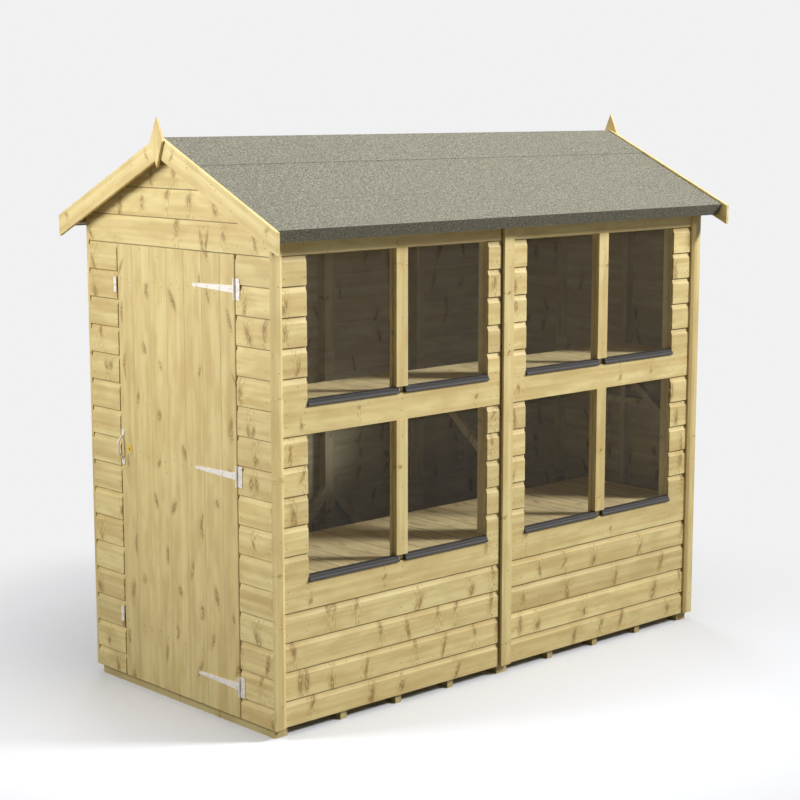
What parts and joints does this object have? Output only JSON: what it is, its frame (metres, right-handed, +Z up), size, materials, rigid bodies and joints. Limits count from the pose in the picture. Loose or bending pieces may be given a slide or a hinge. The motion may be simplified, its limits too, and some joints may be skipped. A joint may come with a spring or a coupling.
{
  "type": "potting shed",
  "caption": "Timber potting shed with an apex felt roof, shiplap walls, a windowed front over an inside bench and shelf, and a ledged gable door on tee hinges.",
  "frame": {"origin": "ground under the middle of the floor", "axes": "+X along the ridge, from the door gable to the far gable; +Y from the windowed front to the back; +Z up"},
  "size_m": [2.566, 1.38, 2.27],
  "materials": {
    "shiplap_pine": "pressure treated, sawn and planed",
    "trim_pine": "pressure treated, planed",
    "door_pine": "pressure treated, planed",
    "frame_pine": "pressure treated, sawn",
    "deck_pine": "pressure treated, planed",
    "bench_pine": "planed",
    "roof_felt": "mineral granules on bitumen",
    "window_glass": "clear",
    "drip_plastic": "satin",
    "zinc_steel": "zinc plated",
    "brass": "satin",
    "lock_paint": "black"
  },
  "bodies": {
    "shed": {"back_cover_strip": "trim_pine", "back_left_cladding": "shiplap_pine", "back_left_corner_trim": "trim_pine", "back_left_frame": "frame_pine", "back_right_cladding": "shiplap_pine", "back_right_corner_trim": "trim_pine", "back_right_frame": "frame_pine", "back_roof_boards": "deck_pine", "back_roof_felt": "roof_felt", "back_roof_frame": "frame_pine", "bench_frame": "frame_pine", "bench_top": "bench_pine", "door_gable_back_bargeboard": "trim_pine", "door_gable_cladding": "shiplap_pine", "door_gable_finial": "trim_pine", "door_gable_frame": "frame_pine", "door_gable_front_bargeboard": "trim_pine", "drip_bars": "drip_plastic", "far_gable_back_bargeboard": "trim_pine", "far_gable_cladding": "shiplap_pine", "far_gable_finial": "trim_pine", "far_gable_frame": "frame_pine", "far_gable_front_bargeboard": "trim_pine", "floor_bearers": "frame_pine", "front_cover_strip": "trim_pine", "front_left_cladding": "shiplap_pine", "front_left_corner_trim": "trim_pine", "front_left_frame": "frame_pine", "front_left_panes": "window_glass", "front_left_rails": "trim_pine", "front_right_cladding": "shiplap_pine", "front_right_corner_trim": "trim_pine", "front_right_frame": "frame_pine", "front_right_panes": "window_glass", "front_right_rails": "trim_pine", "front_roof_boards": "deck_pine", "front_roof_felt": "roof_felt", "front_roof_frame": "frame_pine", "glazing_beads": "frame_pine", "hinge_pins": "zinc_steel", "hinge_plates": "zinc_steel", "left_floor_boards": "deck_pine", "lock_keep": "zinc_steel", "mullion_strips": "trim_pine", "ridge_felt": "roof_felt", "right_floor_boards": "deck_pine", "roof_truss": "frame_pine", "shelf_frame": "frame_pine", "shelf_top": "bench_pine", "turn_button_screws": "zinc_steel"},
    "door": {"door_boards": "door_pine", "door_ledges": "frame_pine", "hinge_straps": "zinc_steel", "pull_handle": "zinc_steel", "keyhole_plate": "brass", "lock_case": "lock_paint"},
    "upper_button": {"upper_turn_button": "zinc_steel"},
    "lower_button": {"lower_turn_button": "zinc_steel"},
    "bolt": {"lock_bolt": "zinc_steel"}
  },
  "joints": [
    {"name": "door_swing", "type": "hinge", "parent": "shed", "child": "door", "pos_m": [-1.217, -0.373, 0], "axis": [0, 0, 1], "range_deg": [0, 170]},
    {"name": "upper_button_turn", "type": "hinge", "parent": "shed", "child": "upper_button", "pos_m": [-1.2153, 0.386, 1.62], "axis": [1, 0, 0], "range_deg": [0, 90]},
    {"name": "lower_button_turn", "type": "hinge", "parent": "shed", "child": "lower_button", "pos_m": [-1.2153, 0.386, 0.288], "axis": [1, 0, 0], "range_deg": [0, 90]},
    {"name": "bolt_slide", "type": "slide", "parent": "door", "child": "bolt", "axis": [0, 1, 0], "range_m": [0, 0.014]}
  ]
}
